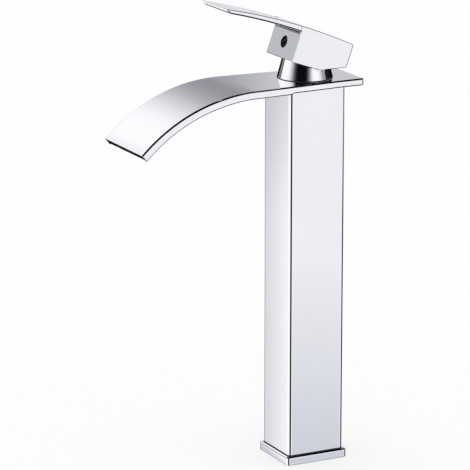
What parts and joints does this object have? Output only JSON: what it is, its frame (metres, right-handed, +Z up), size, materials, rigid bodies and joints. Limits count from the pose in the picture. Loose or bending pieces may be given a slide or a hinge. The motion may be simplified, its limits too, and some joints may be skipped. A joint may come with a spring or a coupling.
{
  "type": "waterfall basin mixer tap",
  "caption": "Tall deck-mounted basin mixer with a square column, a flat arched waterfall spout, a tapered bonnet and a single lever that lifts and turns a ceramic cartridge.",
  "frame": {"origin": "middle of the foot on the deck, at the centre of the deck hole", "axes": "+Z up the column, -Y towards the spout's tip, +X to the right of a person who faces the tap's spout from behind the tap"},
  "size_m": [0.0584, 0.1675, 0.3781],
  "materials": {
    "chrome_body": "polished chrome plate over brass",
    "chrome_handle": "polished chrome plate over cast metal",
    "black_rubber": "matt moulded rubber",
    "cast_brass": "machined brass, dull",
    "copper_tube": "drawn copper tube",
    "grey_plastic": "glass-filled plastic, satin",
    "white_plastic": "acetal, satin",
    "white_ceramic": "lapped alumina",
    "zinc_steel": "zinc-plated steel",
    "dark_steel": "blackened steel"
  },
  "bodies": {
    "faucet_body": {"base_flange": "chrome_body", "column_shell": "chrome_body", "spout_plate": "chrome_body", "spout_floor": "chrome_body", "bonnet": "chrome_body", "base_gasket": "black_rubber", "riser_o_rings": "black_rubber", "valve_gasket": "black_rubber", "bonnet_o_ring": "black_rubber", "seat_seals": "black_rubber", "disc_seals": "black_rubber", "horseshoe_gasket": "black_rubber", "base_block": "cast_brass", "valve_body": "cast_brass", "clamp_ring": "cast_brass", "retaining_nut": "cast_brass", "hot_riser": "copper_tube", "cold_riser": "copper_tube", "cartridge_base": "grey_plastic", "cartridge_housing": "grey_plastic", "fixed_disc": "white_ceramic", "fixing_stud": "zinc_steel", "horseshoe_plate": "zinc_steel", "fixing_nut": "zinc_steel", "base_screws": "zinc_steel"},
    "turning_guide": {"stem_guide": "white_plastic", "stem_pin": "dark_steel"},
    "lever": {"handle": "chrome_handle", "handle_set_screw": "dark_steel", "stem": "cast_brass"},
    "disc_slide": {"moving_disc": "white_ceramic", "disc_carrier": "white_plastic"}
  },
  "joints": [
    {"name": "temperature_turn", "type": "hinge", "parent": "faucet_body", "child": "turning_guide", "pos_m": [0, 0, 0.273], "axis": [0, 0, 1], "range_deg": [-50, 50]},
    {"name": "lever_lift", "type": "hinge", "parent": "turning_guide", "child": "lever", "pos_m": [0, 0, 0.273], "axis": [-1, 0, 0], "range_deg": [-19.5, 5]},
    {"name": "disc_travel", "type": "slide", "parent": "turning_guide", "child": "disc_slide", "axis": [0, -1, 0], "range_m": [-0.00265, 0.0007]}
  ],
  "couplings": [
    {"joint": "disc_travel", "follows": "lever_lift", "m_per_rad": 0.00771}
  ]
}
